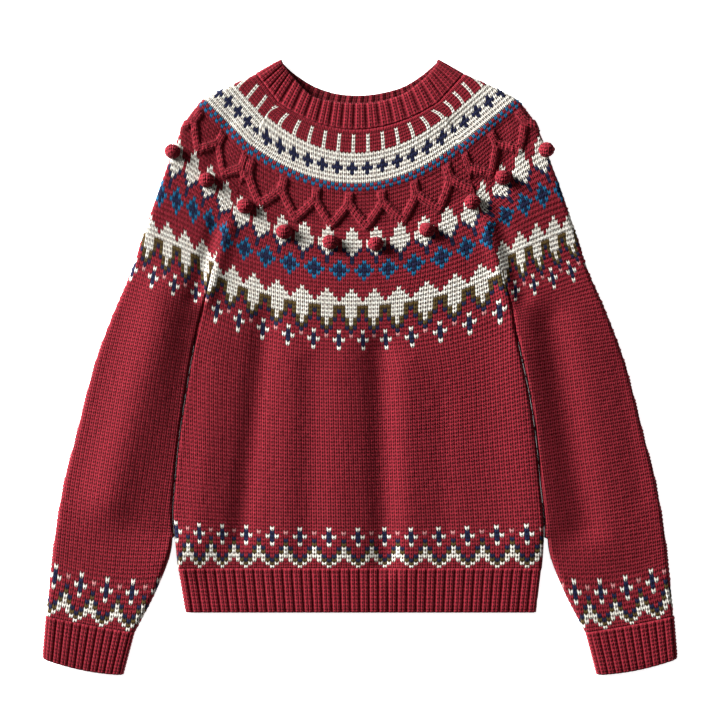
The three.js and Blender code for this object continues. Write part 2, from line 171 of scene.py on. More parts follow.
# %% Read the tables smoothly
def smooth(table, places):
    """The other columns of a table at any places, along a smooth curve."""
    table = np.array(table, float)
    stops, values = table[:, 0], table[:, 1:]
    last = len(stops) - 1
    i = np.clip(np.searchsorted(stops, places) - 1, 0, last - 1)
    before, after = np.maximum(i - 1, 0), np.minimum(i + 2, last)
    span = (stops[i + 1] - stops[i])[:, None]
    f = (places - stops[i])[:, None] / span
    step = values[i + 1] - values[i]
    leave = (values[i + 1] - values[before]) / (stops[i + 1] - stops[before])[:, None] * span
    arrive = (values[after] - values[i]) / (stops[after] - stops[i])[:, None] * span
    curve = values[i] + leave * f + (3 * step - 2 * leave - arrive) * f**2
    return (curve + (leave + arrive - 2 * step) * f**3).T


def mix(a, b, f):
    return a + (b - a) * f


def lay(x, y):
    """Height of the upper layer's outside over the floor."""
    z = np.full(np.shape(x), LOFT)
    for x0, y0, x1, y1, half_width, height in FOLDS:
        dx, dy = x1 - x0, y1 - y0
        f = np.clip(((x - x0) * dx + (y - y0) * dy) / (dx * dx + dy * dy), 0, 1)
        distance = np.hypot(x - x0 - f * dx, y - y0 - f * dy)
        z += height * np.exp(-((distance / half_width) ** 2))
    return z


def cord(cables, across, down, width):
    """Share of a raised cord's height, and the stitch and row of a point along the cord.

    A zigzag runs round the yoke, and a straight cord stands over each of its upper turns. Both
    are two stitches wide, and their stitches follow them.
    """
    turns = (across - cables["phase"]) / cables["period"]
    to_turn = np.abs(turns - np.round(turns))
    line = mix(cables["turn"], cables["foot"], to_turn * 2)
    slant = (cables["foot"] - cables["turn"]) / (0.5 * cables["period"] * width)
    zigzag = (down - line) / np.hypot(1, slant)
    straight = (turns - np.round(turns)) * cables["period"] * width
    is_straight = (down < cables["turn"]) & (np.abs(straight) < np.abs(zigzag))
    aside = np.where(is_straight, straight, zigzag)
    along = np.where(is_straight, down, down * 0.5 + to_turn * cables["period"] * width * 0.75)
    near = np.abs(aside) / CORD_HALF_WIDTH
    inside = (down > cables["top"]) & (down < cables["foot"] + CORD_HALF_WIDTH)
    height = np.where(inside & (near < 1), (1 - np.minimum(near, 1) ** 2) ** 0.5, 0)
    stitch = 0.5 + aside / CORD_HALF_WIDTH
    to_middle = np.abs((stitch + 0.5) % 1 - 0.5)
    return height, stitch, along / CORD_ROW - PULL * (1 - 2 * to_middle)


print("height of the cloth in the centre valley: %.1f mm" % lay(np.array([9.0]), np.array([-90.0]))[0])

# %% [markdown]
# A stitch of stockinette is a small V: two slanting legs of yarn that meet at the bottom. The V
# below starts before this one ends, so a stitch that stands alone in its colour looks twice as
# tall as a row. A flat grid with four columns and two rows to a stitch is enough: its rows are
# pulled down in the middle of each stitch, which shears them into Vs, and its legs are raised.
#
# Each panel starts as a coarse slab. Only its upper faces are cut finely, so the hidden inside
# of the cloth stays light.

# %% A slab in stitch units
BLOCK_STITCHES = 2
BLOCK_ROWS = 4
CUTS = 7
TOUCHING = 0.01


def knitted_slab(name, first, last, rows, is_ring=False, is_fine_inside=False):
    """A closed slab, or a ring open at its ends. X counts stitches, -Y rows, and Z is the layer."""
    work = bmesh.new()
    across, down = (last - first) // BLOCK_STITCHES, rows // BLOCK_ROWS
    bmesh.ops.create_grid(work, x_segments=across, y_segments=down, size=0.5)
    bmesh.ops.scale(work, vec=(last - first, rows, 1), verts=work.verts)
    bmesh.ops.translate(work, vec=((first + last) / 2, -rows / 2, 1), verts=work.verts)
    bmesh.ops.solidify(work, geom=work.faces[:], thickness=1.0)
    heights = [vert.co.z for vert in work.verts]
    halfway = (max(heights) + min(heights)) / 2
    level = [face for face in work.faces if abs(face.normal.z) > 0.5]
    cut = [face for face in level if is_fine_inside or face.verts[0].co.z > halfway]
    edges = list({edge for face in cut for edge in face.edges})
    bmesh.ops.subdivide_edges(work, edges=edges, cuts=CUTS, use_grid_fill=True)
    if is_ring:
        rims = []
        for face in work.faces:
            xs = [vert.co.x for vert in face.verts]
            is_at_end = min(abs(x - end) for x in xs for end in (first, last)) < TOUCHING
            if is_at_end and max(xs) - min(xs) < TOUCHING:
                rims.append(face)
        bmesh.ops.delete(work, geom=rims, context="FACES_ONLY")
    mesh = bpy.data.meshes.new(name)
    work.to_mesh(mesh)
    work.free()
    return mesh


def grid_of(mesh):
    """Stitch, row and layer of every vertex."""
    flat = np.empty(len(mesh.vertices) * 3)
    mesh.vertices.foreach_get("co", flat)
    co = flat.reshape(-1, 3)
    return co[:, 0].copy(), -co[:, 1], (co[:, 2] > co[:, 2].mean())


trial = knitted_slab("trial", 0, 4, 8)
print("a trial slab of 4 stitches by 8 rows has", len(trial.polygons), "faces")
bpy.data.meshes.remove(trial)

# %% [markdown]
# The relief of the V lives in the same units. Each leg is a short strand that lies along its
# slanting row, so it is highest in its middle and dips towards the rows above and below, and
# its two ends tuck in under the next stitches. How deep a point lies is kept as an attribute,
# the groove, which the yarns use to paint shade into their colour down in the grooves.
# Hand knitting is never quite even, so each stitch gets a little height of its own, from a
# seeded table.

# %% The shape of a stitch
STITCH_HEIGHT = 1.5
GROUND_DROP = 1.2
rng = np.random.default_rng(7)
UNEVEN = rng.normal(0, 1, (256, 256))


def shear(stitch, row, rows):
    """How many rows a point is pulled down: most in the middle of a V, none at the panel's ends."""
    to_middle = np.abs((stitch + 0.5) % 1 - 0.5)
    ends = np.clip(np.minimum(row, (rows - row) / 2), 0, 1)
    return PULL * (1 - 2 * to_middle) * ends


def relief(stitch, row):
    """Height of the yarn, from 0 in the grooves to 1 in the middle of each leg."""
    to_middle = np.abs((stitch + 0.5) % 1 - 0.5)
    along = 1 - (0.5 + 0.4 * (to_middle > 0.3)) * (to_middle * 4 - 1) ** 2
    return along * (1 - 0.65 * ((row % 1) * 2 - 1) ** 2)


def uneven(stitch, row):
    return UNEVEN[np.floor(row).astype(int) % 256, np.floor(stitch + 0.5).astype(int) % 256]


sample = relief(np.array([0, 0.25, 0.5]), np.array([0.5, 0.5, 0.5]))
print("relief across one stitch:", sample.round(2).tolist())

# %% [markdown]
# The charts. Each line is one row and shows the stitches that are repeated all the way round:
# r red, c cream, n navy, t teal, o olive, p a pale red fleck. The first letter is the column
# at the middle of a leaf, which is also the column of a stripe. Traditional yokes are built
# just like this, from bands whose repeats of 4, 2 and 6 stitches share a centre.

# %% Charts of the yoke and the borders
YARNS = "rcntop"
YOKE = [
    "r",
    "crrr", "crrr", "crrr", "crrr", "crrr",
    "c", "c",
    "nccc", "nncn", "nccc",
    "c", "c",
    "rt", "tr",
    "r", "r", "r", "r", "r", "r", "r", "r", "r", "r",
    "crrrrr", "ccrrrc", "ccrrrc", "cccrcc", "cccrcc", "ccnrnc", "cnrrrn",
    "nrrrrr", "nrrtrr", "rrtntr", "rtnnnt", "rrtntr", "rrrtrr",
    "r", "r",
    "crrrrr", "ccrrrc", "cccrcc", "cccccc", "ccoooc", "cconoc", "ccoroc",
    "conrno", "corrro", "onrrrn", "nrrcrr", "prrnrr", "rrcncr", "rrrnrr", "rrrcrr",
]
BORDER = [
    "crrrrr", "nrrprr", "ncrrrc", "nrrnrr", "crrorr", "rrncnr",
    "rrocor", "rncccn", "nocrco", "ocrrrc", "crrrrr",
]
BODY_KNIT_ROWS = 116
BODY_BORDER_FROM = 105
SLEEVE_KNIT_ROWS = 148
SLEEVE_BORDER_FROM = 137


def chart(rows, border_from, first, last, shifts):
    """The yarn of every stitch, as numbers, with one line for each row of the panel."""
    lines = YOKE + ["r"] * (border_from - len(YOKE)) + BORDER
    lines += ["r"] * (rows - len(lines))
    table = np.zeros((rows, last - first + 1), int)
    for row, line in enumerate(lines):
        shift = shifts["small"] if len(line) < 6 else shifts["large"]
        if row >= border_from:
            shift = shifts["border"]
        for stitch in range(first, last + 1):
            table[row, stitch - first] = YARNS.index(line[(stitch - shift) % len(line)])
    return table


print("yoke rows:", len(YOKE), "border rows:", len(BORDER))

# %% [markdown]
# Wool has no shine to speak of, but its fine hairs catch the light at a glancing angle, which
# is what sheen is for. Each yarn is dyed a little unevenly, twisted from plies, and fuzzy, so
# its colour gets two scales of noise and its surface a fine twist that follows the stitches
# through the panel's own UV map.


# %% Yarns
HOLE_DEPTH = 1.6
GROOVE_SHADE = 0.35
STITCH_SHADE = 0.95


def node(tree, kind, place, **values):
    made = tree.nodes.new(kind)
    made.location = place
    for name, value in values.items():
        made.inputs[name.replace("_", " ")].default_value = value
    return made


def figure(tree, operation, first, second=None, third=None):
    """One Math node. Each value is a number or another node's output."""
    made = tree.nodes.new("ShaderNodeMath")
    made.operation = operation
    for slot, value in enumerate((first, second, third)):
        if isinstance(value, (int, float)):
            made.inputs[slot].default_value = value
        elif value is not None:
            tree.links.new(value, made.inputs[slot])
    return made.outputs[0]


def strand_depth(tree):
    """How deep a point lies in its stitch, from 0 on a leg to 1 between legs, from the UV map."""
    stitches = tree.nodes.new("ShaderNodeUVMap")
    stitches.uv_map = "stitches"
    parts = tree.nodes.new("ShaderNodeSeparateXYZ")
    tree.links.new(stitches.outputs["UV"], parts.inputs[0])
    column = figure(tree, "FRACT", figure(tree, "ADD", parts.outputs["X"], 0.5))
    to_middle = figure(tree, "ABSOLUTE", figure(tree, "SUBTRACT", column, 0.5))
    row = figure(tree, "FRACT", parts.outputs["Y"])
    to_strand = figure(tree, "SUBTRACT", figure(tree, "MULTIPLY", row, 2.0), 1.0)
    to_border = figure(tree, "MULTIPLY_ADD", to_middle, 7.0, -2.5)
    side = figure(tree, "POWER", figure(tree, "MAXIMUM", to_border, 0.0), 2.0)
    gap = figure(tree, "POWER", figure(tree, "ABSOLUTE", to_strand), 4.0)
    wide = figure(tree, "POWER", figure(tree, "MULTIPLY", to_middle, 5.8), 2.0)
    from_hole = figure(tree, "ABSOLUTE", figure(tree, "MULTIPLY_ADD", row, 2.4, -0.75))
    tall = figure(tree, "POWER", from_hole, 2.0)
    outside = figure(tree, "MULTIPLY", figure(tree, "ADD", wide, tall), HOLE_DEPTH)
    hole = figure(tree, "MAXIMUM", figure(tree, "SUBTRACT", HOLE_DEPTH, outside), 0.0)
    both = figure(tree, "MULTIPLY_ADD", side, 0.6, figure(tree, "MULTIPLY_ADD", gap, 0.45, hole))
    return stitches, figure(tree, "MINIMUM", both, 1.0)


def wool(name, colour, painted_shade_colour, sheen=0.12):
    """A woollen yarn of one dye. Its painted shade colour is painted into its colour as shade down between
    the strands.
    """
    material = bpy.data.materials.new(name)
    material.use_nodes = True
    tree = material.node_tree
    link = tree.links.new
    shader = tree.nodes["Principled BSDF"]
    shader.inputs["Roughness"].default_value = 0.9
    shader.inputs["Specular IOR Level"].default_value = 0.15
    shader.inputs["Sheen Weight"].default_value = sheen
    shader.inputs["Sheen Roughness"].default_value = 0.4
    shader.inputs["Sheen Tint"].default_value = (*[min(1, 0.1 + 0.9 * c**0.5) for c in colour], 1)
    where = node(tree, "ShaderNodeTexCoord", (-1300, 0))
    heather = node(tree, "ShaderNodeTexNoise", (-1100, 200), Scale=260.0, Detail=4.0)
    fibre = node(tree, "ShaderNodeTexNoise", (-1100, -100), Scale=1500.0, Detail=3.0)
    link(where.outputs["Object"], heather.inputs["Vector"])
    link(where.outputs["Object"], fibre.inputs["Vector"])
    dye = node(tree, "ShaderNodeValToRGB", (-850, 200))
    dye.color_ramp.elements[0].position = 0.3
    dye.color_ramp.elements[0].color = (*[c * 0.82 for c in colour], 1)
    dye.color_ramp.elements[1].position = 0.7
    dye.color_ramp.elements[1].color = (*[min(1, c * 1.2) for c in colour], 1)
    link(heather.outputs["Fac"], dye.inputs["Fac"])
    stitches, deep = strand_depth(tree)
    groove = node(tree, "ShaderNodeAttribute", (-1100, 450))
    groove.attribute_name = "groove"
    # Painted shade: the groove attribute and the strand depth, with the dark hole at the top of each V, mix
    # the colour towards the painted shade colour.
    shade = figure(tree, "MULTIPLY", deep, STITCH_SHADE)
    depth = figure(tree, "MULTIPLY_ADD", groove.outputs["Fac"], GROOVE_SHADE, shade)
    shaded = tree.nodes.new("ShaderNodeMix")
    shaded.data_type = "RGBA"
    shaded.clamp_factor = True
    shaded.inputs["B"].default_value = (*painted_shade_colour, 1)
    link(depth, shaded.inputs["Factor"])
    link(dye.outputs["Color"], shaded.inputs["A"])
    link(shaded.outputs["Result"], shader.inputs["Base Color"])
    twist = node(tree, "ShaderNodeTexWave", (-1100, -350), Scale=1.6, Distortion=1.5, Detail=1.0)
    twist.bands_direction = "DIAGONAL"
    link(stitches.outputs["UV"], twist.inputs["Vector"])
    hairs = figure(tree, "MULTIPLY", fibre.outputs["Fac"], 0.5)
    rough = figure(tree, "MULTIPLY_ADD", twist.outputs["Fac"], 0.35, hairs)
    rough = figure(tree, "MULTIPLY_ADD", deep, -1.6, rough)
    bump = node(tree, "ShaderNodeBump", (-500, -200), Strength=0.6, Distance=0.0007)
    link(rough, bump.inputs["Height"])
    link(bump.outputs["Normal"], shader.inputs["Normal"])
    return material


yarns = [
    wool("red_wool", (0.28, 0.017, 0.030), (0.030, 0.0006, 0.0012), sheen=0.2),
    wool("cream_wool", (1.0, 0.90, 0.77), (0.04, 0.02, 0.015)),
    wool("navy_wool", (0.014, 0.018, 0.058), (0.003, 0.002, 0.008)),
    wool("teal_wool", (0.010, 0.140, 0.29), (0.004, 0.010, 0.03)),
    wool("olive_wool", (0.105, 0.066, 0.018), (0.015, 0.006, 0.003)),
    wool("pale_fleck_wool", (0.62, 0.25, 0.25), (0.05, 0.003, 0.005)),
]
print("yarns:", [yarn.name for yarn in yarns])

# %% [markdown]
# One helper turns a slab into a knitted panel. It works out each stitch's yarn from the chart
# while the slab is still flat and square, moves every point to its place on the jumper, and
# then merges the columns that have run off past a seam, where they all lie on one line.


# %% Turn a slab into a knitted panel
def finish_panel(mesh, stitch, row, groove, points, yarn_of, seen=None):
    """Colour the stitches, put the points in place and make the object."""
    seen_stitch, seen_row = seen or (stitch, row)
    corner = np.empty(len(mesh.loops), int)
    mesh.loops.foreach_get("vertex_index", corner)
    starts = np.empty(len(mesh.polygons), int)
    totals = np.empty(len(mesh.polygons), int)
    mesh.polygons.foreach_get("loop_start", starts)
    mesh.polygons.foreach_get("loop_total", totals)
    middle_stitch = np.add.reduceat(stitch[corner], starts) / totals
    middle_row = np.add.reduceat(row[corner], starts) / totals
    mesh.polygons.foreach_set("material_index", yarn_of(middle_stitch, middle_row).astype(np.int32))
    sheet = mesh.uv_layers.new(name="stitches")
    sheet.data.foreach_set("uv", np.stack([seen_stitch[corner], -seen_row[corner]], 1).ravel())
    # The groove attribute is the mask of painted shade that the yarns read.
    depth = mesh.attributes.new("groove", "FLOAT", "POINT")
    depth.data.foreach_set("value", groove)
    mesh.vertices.foreach_set("co", points.ravel())
    for yarn in yarns:
        mesh.materials.append(yarn)
    work = bmesh.new()
    work.from_mesh(mesh)
    bmesh.ops.remove_doubles(work, verts=work.verts, dist=0.00002)
    for face in work.faces:
        face.smooth = True
    if work.calc_volume(signed=True) < 0:
        bmesh.ops.reverse_faces(work, faces=work.faces)
    open_edges = sum(1 for edge in work.edges if not edge.is_manifold)
    area = sum(face.calc_area() for face in work.faces)
    work.to_mesh(mesh)
    work.free()
    piece = bpy.data.objects.new(mesh.name, mesh)
    bpy.context.scene.collection.objects.link(piece)
    triangles = sum(len(face.vertices) - 2 for face in mesh.polygons)
    counts = (mesh.name, triangles, open_edges, area / 2)
    print("%s: %d triangles, %d open edges, %.3f square metres of cloth" % counts)
    return piece


def to_metres(x, y, z):
    return np.stack([x, y - MIDDLE_Y, z], 1) * MM


# %% [markdown]
# The front and back share one layout. A table says where seven of the columns run at each
# height, because the motifs fan out from the neck and spread unevenly over the folds. The
# columns between follow smoothly, and those that pass a raglan seam stop there.

# %% Lay stitches on the body
# row, its distance down the middle of the front
ROW_PLACES = [(0, 0), (1, 5), (6, 26), (13, 61), (15, 70), (25, 112), (55, 253), (105, 457), (116, 505)]
COLUMN_STEP = 12
FIRST_COLUMN = -36
# down, x of the columns -36, -24, -12, 0, 12, 24 and 36
COLUMN_PLACES = [
    [0, -117, -91, -53, -7, 40, 79, 106],
    [26, -147, -108, -59, -8, 44, 95, 136],
    [47, -154, -107, -60, -9, 43, 94, 143],
    [70, -160, -117, -63, -9, 45, 99, 147],
    [130, -159, -113, -64, -9, 46, 101, 150],
    [164, -166, -121, -67, -9, 47, 109, 161],
    [202, -169, -122, -66, -10, 43, 109, 169],
    [244, -177, -126, -68, -10, 44, 109, 178],
    [293, -189, -130, -70, -8, 51, 114, 178],
    [377, -189, -131, -70, -5, 54, 117, 184],
    [475, -184, -131, -69, -2, 59, 124, 192],
    [505, -184, -131, -69, -2, 59, 124, 192],
]


def column_x(stitch, down):
    """X of any column at a distance down the middle."""
    known = smooth(COLUMN_PLACES, down)
    last = len(known) - 1
    steps = (stitch - FIRST_COLUMN) / COLUMN_STEP
    k = np.clip(np.floor(steps).astype(int), 0, last - 1)
    f = steps - k
    nearby = [np.clip(k + offset, 0, last)[None] for offset in (-1, 0, 1, 2)]
    before, a, b, after = [np.take_along_axis(known, column, 0)[0] for column in nearby]
    leave = np.where(k > 0, (b - before) / 2, b - a)
    arrive = np.where(k < last - 1, (after - a) / 2, b - a)
    step = b - a
    curve = a + leave * f + (3 * step - 2 * leave - arrive) * f**2 + (leave + arrive - 2 * step) * f**3
    return np.where((f < 0) | (f > 1), mix(a, b, f), curve)


def body_ends(down, neck_rise=0.0):
    left_x, left_y, middle_x, middle_y, right_x, right_y, bow, roll = smooth(BODY_ROWS, down)
    middle_y = middle_y + neck_rise * np.maximum(0, 1 - down / 60)
    return left_x, left_y, middle_x, middle_y, right_x, right_y, bow, np.clip(roll, 0, 1)


def place_across(x, ends):
    """-1 at the left seam, 0 in the middle and 1 at the right seam."""
    return (x - ends[2]) / np.where(x < ends[2], ends[2] - ends[0], ends[4] - ends[2])


def body_point(stitch, row, rows, neck_rise):
    """X, Y, place across the row from -1 to 1, how far down it is, half width and roll."""
    pulled = row + shear(stitch, row, rows)
    stops, places = np.array(ROW_PLACES, float).T
    level = np.interp(row, stops, places)
    ends = body_ends(level, neck_rise)
    is_past = np.abs(place_across(column_x(stitch, level), ends)) >= 1
    down = np.where(is_past, level, np.interp(pulled, stops, places))
    ends = body_ends(down, neck_rise)
    t = place_across(column_x(stitch, down), ends)
    t = np.where(is_past, np.sign(t), np.clip(t, -0.999, 0.999))
    left_x, left_y, middle_x, middle_y, right_x, right_y, bow, roll = ends
    reach = np.abs(t)
    x = mix(middle_x, np.where(t < 0, left_x, right_x), reach)
    y = mix(middle_y, np.where(t < 0, left_y, right_y), reach**bow)
    return x, y, t, down, (right_x - left_x) / 2, roll


# %% [markdown]
# The front is made first. Under the dotted rows it is knitted inside out, and cords of
# stockinette climb over that rougher ground in a zigzag. At the sides, below the armholes, the
# front rolls down to meet the back.

# %% The front
BODY_FIRST, BODY_LAST = -44, 44
BODY_SHIFTS = {"small": 0, "large": 0, "border": 0}
FRONT_TIGHT_ROLL = 1.4
THINNEST = 0.3
body_chart = chart(BODY_KNIT_ROWS, BODY_BORDER_FROM, BODY_FIRST, BODY_LAST, BODY_SHIFTS)


def yarn_from(table, first):
    def yarn_of(stitch, row):
        column = np.clip(np.floor(stitch + 0.5).astype(int) - first, 0, table.shape[1] - 1)
        return table[np.clip(np.floor(row).astype(int), 0, table.shape[0] - 1), column]
    return yarn_of


def rolled(inset, top, edge, roll):
    """Height and lean of a side edge that rolls down from top to edge."""
    lean = np.clip(1 - inset / ROLL, 0, 1) * roll
    rise = np.sqrt(1 - np.clip(1 - inset / ROLL, 0, 1) ** 2)
    return mix(top, edge + (top - edge) * rise, roll), lean


def purl_ground(down, raised):
    """1 where the cloth between the cords is knitted inside out."""
    return np.clip(np.minimum(down - 70, 116 - down) / 4, 0, 1) * (1 - np.clip(raised * 3, 0, 1))


def make_front():
    mesh = knitted_slab("front_knit", BODY_FIRST, BODY_LAST, BODY_KNIT_ROWS)
    stitch, row, is_outer = grid_of(mesh)
    x, y, t, down, half, roll = body_point(stitch, row, BODY_KNIT_ROWS, 0.0)
    edge = CLOTH + SEAM_GAP
    z, lean = rolled((1 - np.abs(t)) * half * FRONT_TIGHT_ROLL, lay(x, y), edge, roll)
    raised, cord_stitch, cord_row = cord(CABLES, t, down, half)
    on_cord = raised > 0.05
    seen_stitch, seen_row = np.where(on_cord, cord_stitch, stitch), np.where(on_cord, cord_row, row)
    height = np.where(np.abs(t) < 1, relief(seen_stitch, seen_row), 0.5)
    ground = purl_ground(down, raised)
    own = np.where(np.abs(t) < 1, 0.08 * uneven(stitch, row), 0)
    lift = (height - 0.75) * STITCH_HEIGHT + own + CORD_HEIGHT * raised - GROUND_DROP * ground
    out = np.where(is_outer, lift, -KNIT_WALL)
    side = np.sign(t) * lean
    z = np.maximum(z + out * np.sqrt(1 - side**2), np.where(is_outer, edge + THINNEST, edge))
    x = x + np.where(is_outer, 0, out * side)
    # Painted shade mask: dark in the grooves between legs, a little darker on the purl ground and on the
    # cords.
    groove = np.clip(1 - height + 0.25 * ground + 0.1 * raised, 0, 1)
    seen = (seen_stitch, seen_row)
    points = to_metres(x, y, z)
    return finish_panel(mesh, stitch, row, groove, points, yarn_from(body_chart, BODY_FIRST), seen)


front = make_front()

# %% [markdown]
# The back is the same cut, turned over. Its outside faces the floor and is nearly flat, and its
# neck is a little higher.


# %% The back
def make_back():
    mesh = knitted_slab("back_knit", BODY_FIRST, BODY_LAST, BODY_KNIT_ROWS)
    stitch, row, is_outer = grid_of(mesh)
    x, y, t, down, half, roll = body_point(stitch, row, BODY_KNIT_ROWS, BACK_NECK_RISE)
    height = np.where(np.abs(t) < 1, relief(stitch, row), 0.5)
    z = np.where(is_outer, 0.9 * (1 - height) + 0.05, CLOTH)
    x = mix(-6.0, x, 0.995)
    # 1 - height is the painted shade mask for the back's grooves.
    return finish_panel(mesh, stitch, row, 1 - height, to_metres(x, y, z), yarn_from(body_chart, BODY_FIRST))


back = make_back()

# %% [markdown]
# A sleeve is one tube pressed flat. Its columns are counted towards the body. Those that pass
# the outer fold go on underneath, back towards the body, where they end at the same seam.

# %% The sleeves
SLEEVE_FIRST, SLEEVE_LAST = -36, 32
# row, and how far along it lies on the left sleeve and on the right one
SLEEVE_ROW_PLACES = [
    [0, 0, 0], [1, 5, 5], [6, 25, 25], [13, 60, 60], [15, 70, 70], [25, 114, 110],
    [40, 195, 190], [55, 269, 265], [137, 595, 595], [148, 663, 663],
]
SLEEVE_BORDER_SHIFT = {-1: 3, 1: 0}
TIGHT_ROLL_Y = [-225, -190]
# along, x of the columns 12 and 24 on the left sleeve, and on the right one mirrored
SLEEVE_COLUMNS = [
    [0, -135, -106, -136, -106],
    [25, -154, -121, -154, -121],
    [46, -166, -133, -167, -124],
    [66, -179, -142, -176, -138],
    [95, -187, -150, -184, -143],
    [133, -191, -154, -185, -139],
    [168, -201, -163, -200, -158],
    [221, -200, -158, -204, -166],
    [261, -201, -152, -212, -168],
    [303, -206, -153, -212, -159],
    [364, -216, -160, -218, -162],
    [447, -227, -168, -227, -168],
    [512, -236, -176, -236, -176],
    [568, -242, -182, -242, -182],
    [609, -247, -188, -247, -188],
    [663, -252, -191, -252, -191],
]
side_lines = []
for side_end in (0, 4):
    line = body_ends(np.linspace(0, BODY_END, 121))
    side_lines.append((line[side_end + 1][::-1], line[side_end][::-1]))


def sleeve_ends(along, side):
    """Outer and inner ends of a sleeve's rows, with their sag and roll."""
    outer_x, outer_y, inner_x, inner_y, sag, roll = smooth(SLEEVE_ROWS, along)
    edge = np.interp(inner_y, *side_lines[0 if side < 0 else 1]) - side * SEAM_LAP
    is_free = (inner_y < SLEEVE_LEAVES_BODY_Y) & (side * edge < -inner_x)
    is_free = is_free | (inner_y < BODY_FOOT_Y)
    edge_x = np.where(is_free, -side * inner_x, edge)
    return -side * outer_x, outer_y, edge_x, inner_y, sag, np.clip(roll, 0, 1)


def tube_height(top, inset, under, roll=1.0):
    """Height and lean of a flattened tube's outside near its fold."""
    middle = np.minimum(top * 0.5, 0.25 * top + 2.2)
    lean = np.clip(1 - inset / ROLL, 0, 1)
    rise = np.sqrt(1 - lean**2)
    folded = np.where(under, middle * (1 - rise), middle + (top - middle) * rise)
    return mix(np.where(under, 0, top), folded, roll), lean * roll


def sleeve_place(stitch, along, side, ends):
    """0 at the outer fold, 1 at the inner edge on top and -1 at the inner edge underneath."""
    known = smooth(SLEEVE_COLUMNS, along)
    at_12, at_24 = (known[0], known[1]) if side < 0 else (known[2], known[3])
    x = -side * mix(at_12, at_24, (stitch - 12) / 12)
    return (x - ends[0]) / (ends[2] - ends[0])


def make_sleeve(name, side):
    mesh = knitted_slab(name, SLEEVE_FIRST, SLEEVE_LAST, SLEEVE_KNIT_ROWS)
    stitch, row, is_outer = grid_of(mesh)
    stops, left_places, right_places = np.array(SLEEVE_ROW_PLACES, float).T
    places = left_places if side < 0 else right_places
    level = np.interp(row, stops, places)
    is_past = np.abs(sleeve_place(stitch, level, side, sleeve_ends(level, side))) >= 1
    pulled = np.interp(row + shear(stitch, row, SLEEVE_KNIT_ROWS), stops, places)
    along = np.where(is_past, level, pulled)
    ends = sleeve_ends(along, side)
    t = sleeve_place(stitch, along, side, ends)
    t = np.where(is_past, np.sign(t), np.clip(t, -0.999, 0.999))
    outer_x, outer_y, inner_x, inner_y, sag, roll = ends
    under = t < 0
    t = np.abs(t)
    x, y = mix(outer_x, inner_x, t), mix(outer_y, inner_y, t) - sag * 4 * t * (1 - t)
    length = np.hypot(inner_x - outer_x, inner_y - outer_y)
    is_inner_side = t > 0.5
    inset = np.where(is_inner_side, 1 - t, t) * length
    top = lay(x, y)
    beside_body = np.interp(inner_y, TIGHT_ROLL_Y, [1.0, TIGHT_ROLL])
    from_fold = inset * np.where(is_inner_side, beside_body, 1.0)
    z, lean = tube_height(top, from_fold, under, np.where(is_inner_side, roll, 1.0))
    raised, cord_stitch, cord_row = cord(SLEEVE_CABLES, t, along, length)
    raised = np.where(under, 0, raised)
    on_cord = raised > 0.05
    seen_stitch, seen_row = np.where(on_cord, cord_stitch, stitch), np.where(on_cord, cord_row, row)
    height = np.where(is_past, 0.5, relief(seen_stitch, seen_row))
    ground = np.where(under, 0, purl_ground(along, raised))
    own = np.where(is_past, 0, 0.08 * uneven(stitch, row))
    lift = (height - 0.75) * STITCH_HEIGHT + own + CORD_HEIGHT * raised - GROUND_DROP * ground
    out = np.where(is_outer, np.where(under, (height - 1) * 0.9, lift), -KNIT_WALL)
    up = np.sqrt(1 - lean**2) * np.where(under, -1, 1)
    sideways = lean * np.where(is_inner_side, -1, 1)
    z = z + out * up
    x = x + out * sideways * (outer_x - inner_x) / length
    y = y + out * sideways * (outer_y - inner_y) / length
    # Painted shade mask: dark in the grooves between legs, a little darker on the purl ground and on the
    # cords.
    groove = np.clip(1 - height + 0.25 * ground + 0.1 * raised, 0, 1)
    shifts = {"small": 1, "large": 0, "border": SLEEVE_BORDER_SHIFT[side]}
    table = chart(SLEEVE_KNIT_ROWS, SLEEVE_BORDER_FROM, SLEEVE_FIRST, SLEEVE_LAST, shifts)
    points = to_metres(x, y, np.maximum(z, 0.02))
    yarn_of = yarn_from(table, SLEEVE_FIRST)
    return finish_panel(mesh, stitch, row, groove, points, yarn_of, (seen_stitch, seen_row))


sleeve_left = make_sleeve("sleeve_left_knit", -1)
sleeve_right = make_sleeve("sleeve_right_knit", 1)

# %% [markdown]
# Ribbing is two knit columns, then purl ones that sink between them and pull the ribs
# together. Three columns of the slab make one rib: two with Vs and a narrow one that drops
# into the groove. The ring is laid flat, so its ribs run over the top, round both folds and
# underneath, and its two ends meet out of sight in the middle of the underside.

# %% Ribbing
RIB_STITCHES = 3
KNIT_SHARE = 0.41
RIB_HEIGHT = 1.44
RIB_STITCH_HEIGHT = 1.3
SEAM_ROWS = 0.9
RIM_ROWS = 1.2
RIM_DROP = 0.9
INSIDE_RIB = 1.6
RIB_LAP = 0.3


def rib_share(stitch):
    """Ribs counted from the middle of the ring, with the groove squeezed narrow."""
    whole = np.floor(stitch / RIB_STITCHES)
    within = stitch - whole * RIB_STITCHES
    return whole + np.interp(within, [0, 1, 2, 3], [0, KNIT_SHARE, 2 * KNIT_SHARE, 1])


def rib_relief(stitch, row):
    within = stitch % RIB_STITCHES
    knit = relief(stitch + 0.5, row)
    rib = np.interp(within, [0, 0.5, 1, 1.5, 2, 2.5, 3], [0.3, 0.95, 0.6, 0.95, 0.3, 0, 0.3])
    return np.where(within < 2, knit, 0.3), rib


def plain_red(stitch, row):
    return np.zeros(len(stitch))


